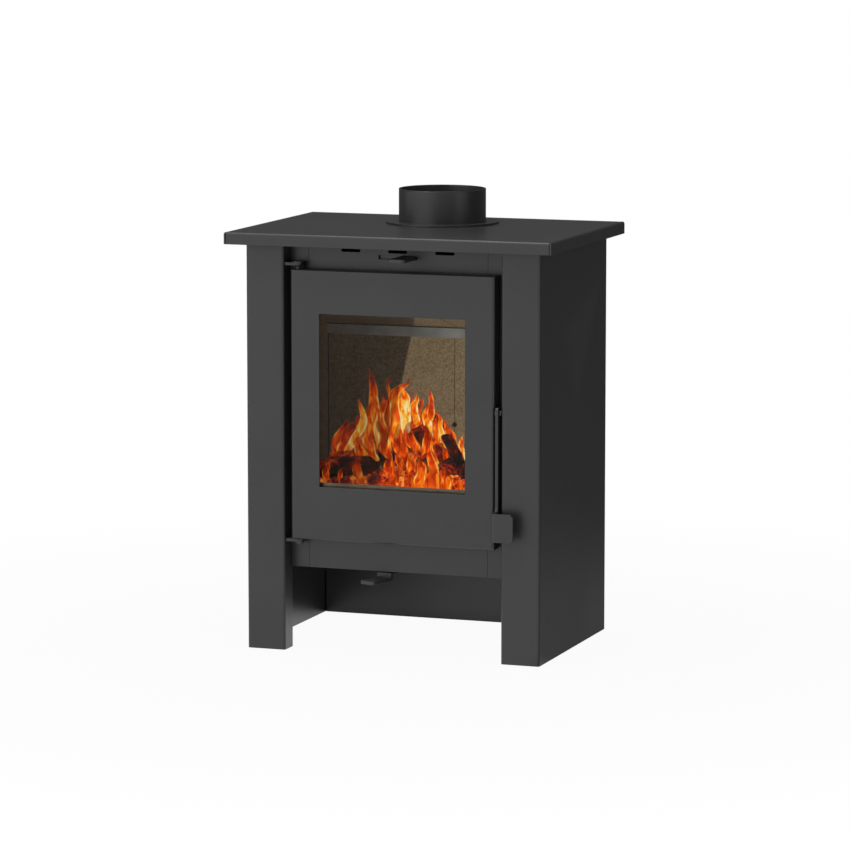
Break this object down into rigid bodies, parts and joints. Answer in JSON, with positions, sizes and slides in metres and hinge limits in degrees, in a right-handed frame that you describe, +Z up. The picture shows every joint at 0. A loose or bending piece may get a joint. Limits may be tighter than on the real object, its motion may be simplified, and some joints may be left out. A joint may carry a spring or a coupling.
{
  "type": "wood stove",
  "caption": "Free-standing wood stove of folded sheet steel with a glazed hinged door, a lined firebox, a flue collar on top and an open log store between its side panels.",
  "frame": {"origin": "centre of the stove's bounding box on the floor, midway between the outer edges of the top plate", "axes": "+X to the right seen from the front, +Y from the door to the back panel, +Z up"},
  "size_m": [0.579, 0.412, 0.7735],
  "materials": {
    "casing_paint": "matt anthracite heat-proof paint",
    "bare_steel": "plain, heat-dulled",
    "vermiculite": "pressed mineral board, speckled and matt",
    "cast_iron": "rough, black",
    "seal_rope": "braided glass-fibre rope",
    "stove_glass": "clear ceramic glass, faintly warm"
  },
  "bodies": {
    "stove": {"left_side_panel": "casing_paint", "right_side_panel": "casing_paint", "back_panel": "casing_paint", "top_plate": "casing_paint", "flue_spigot": "casing_paint", "flue_rosette": "casing_paint", "front_facing": "casing_paint", "facing_strip_left": "casing_paint", "facing_strip_right": "casing_paint", "firebox_floor": "casing_paint", "firebox_front": "casing_paint", "firebox_left": "casing_paint", "firebox_right": "casing_paint", "firebox_back": "casing_paint", "firebox_top": "casing_paint", "hearth_plate": "casing_paint", "hearth_liner": "vermiculite", "grate": "cast_iron", "side_liner_left": "vermiculite", "side_liner_right": "vermiculite", "back_liner_left": "vermiculite", "back_liner_right": "vermiculite", "liner_screw": "bare_steel", "baffle_rail": "bare_steel", "baffle_left": "vermiculite", "baffle_right": "vermiculite", "baffle_peg_left": "bare_steel", "baffle_peg_right": "bare_steel", "ash_pan": "casing_paint", "air_slide_rail": "casing_paint", "floor_air_bolt": "bare_steel", "hinge_bracket_top": "casing_paint", "hinge_bracket_bottom": "casing_paint", "catch_pin": "bare_steel"},
    "door": {"door_panel": "casing_paint", "door_channel": "casing_paint", "rope_seal": "seal_rope", "glass_gasket": "seal_rope", "glass_pane": "stove_glass", "glass_retainer_bottom": "bare_steel", "glass_retainer_top": "bare_steel", "glass_retainer_left": "bare_steel", "glass_retainer_right": "bare_steel", "hinge_block_top": "casing_paint", "hinge_block_bottom": "casing_paint", "hinge_pin_top": "bare_steel", "hinge_pin_bottom": "bare_steel", "lever_bolt": "bare_steel", "lever_washer": "bare_steel", "lever_nut": "bare_steel"},
    "lever": {"door_lever": "casing_paint"},
    "upper_air_control": {"air_slide": "casing_paint"},
    "lower_air_control": {"floor_air_lever": "casing_paint"}
  },
  "joints": [
    {"name": "door_hinge", "type": "hinge", "parent": "stove", "child": "door", "pos_m": [-0.1728, -0.162, 0.4225], "axis": [0, 0, -1], "range_deg": [0, 100]},
    {"name": "lever_pivot", "type": "hinge", "parent": "door", "child": "lever", "pos_m": [0.1866, -0.1665, 0.4225], "axis": [-1, 0, 0], "range_deg": [0, 25]},
    {"name": "upper_air_slide", "type": "slide", "parent": "stove", "child": "upper_air_control", "axis": [-1, 0, 0], "range_m": [0, 0.0375]},
    {"name": "lower_air_pivot", "type": "hinge", "parent": "stove", "child": "lower_air_control", "pos_m": [0, -0.048, 0.1375], "axis": [0, 0, 1], "range_deg": [0, 36]}
  ]
}
